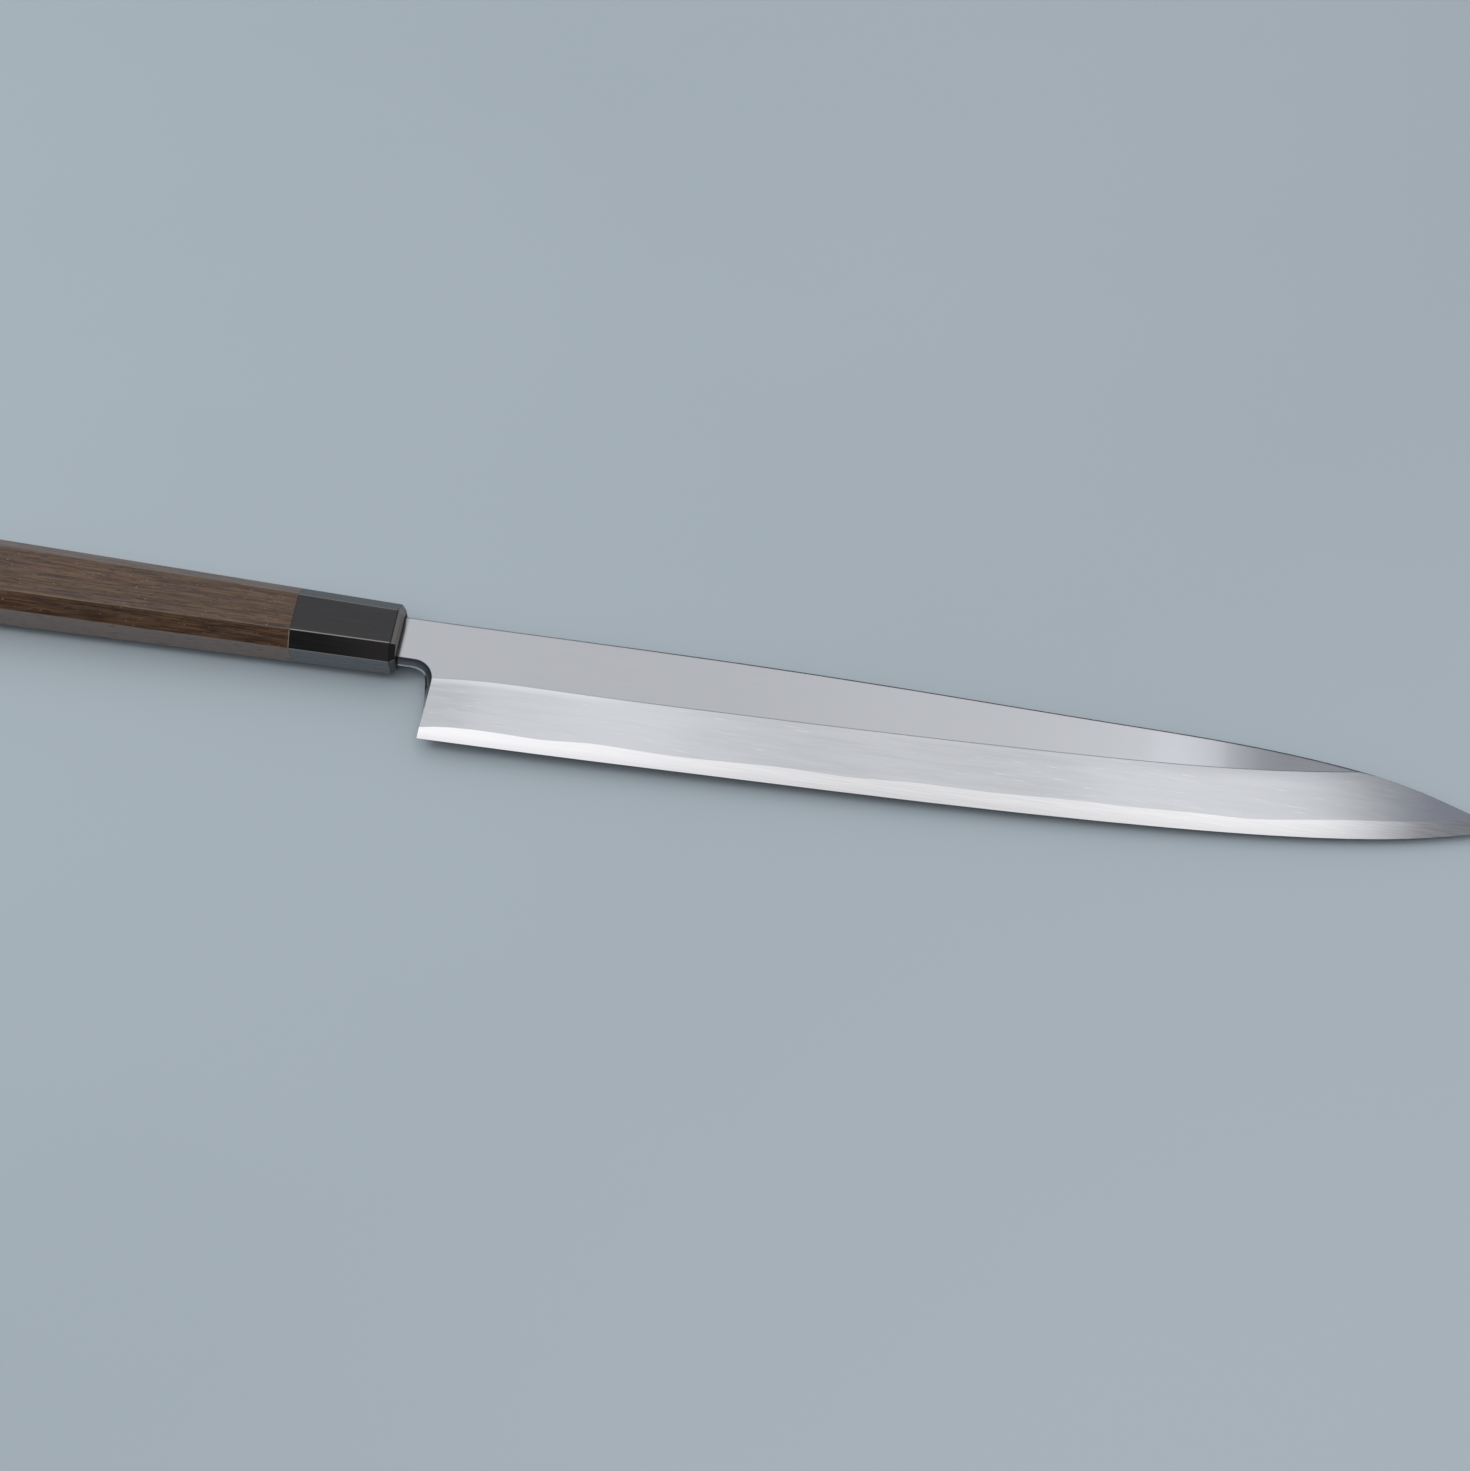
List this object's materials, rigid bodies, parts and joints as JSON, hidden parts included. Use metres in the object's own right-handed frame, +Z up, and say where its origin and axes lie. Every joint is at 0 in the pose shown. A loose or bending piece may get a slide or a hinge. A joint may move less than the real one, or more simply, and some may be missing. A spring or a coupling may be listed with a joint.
{
  "type": "yanagiba knife",
  "caption": "Long single-bevel slicing knife for raw fish, with a hollow-ground flat back, an octagonal dark wood handle and a black horn ferrule.",
  "frame": {"origin": "middle of the wooden part of the handle's lower side facet, on the table that the knife lies on", "axes": "+X along the knife towards the tip, +Y towards the spine, +Z up from the table; the bevelled face is up"},
  "size_m": [0.4785, 0.0421, 0.0196],
  "materials": {
    "soft_iron": "satin ground soft iron, hazy along the bevel",
    "hard_steel": "fine stone-polished hard carbon steel",
    "horn": "satin polished black buffalo horn",
    "dark_wood": "oiled dark hardwood with fine open pores",
    "core_wood": "plain pale hardwood dowel",
    "resin": "dull black bedding resin"
  },
  "bodies": {
    "root": {"blade_body": "soft_iron", "edge_steel": "hard_steel", "ferrule": "horn", "handle_body": "dark_wood", "handle_core": "core_wood", "tang_bedding": "resin"}
  },
  "joints": []
}
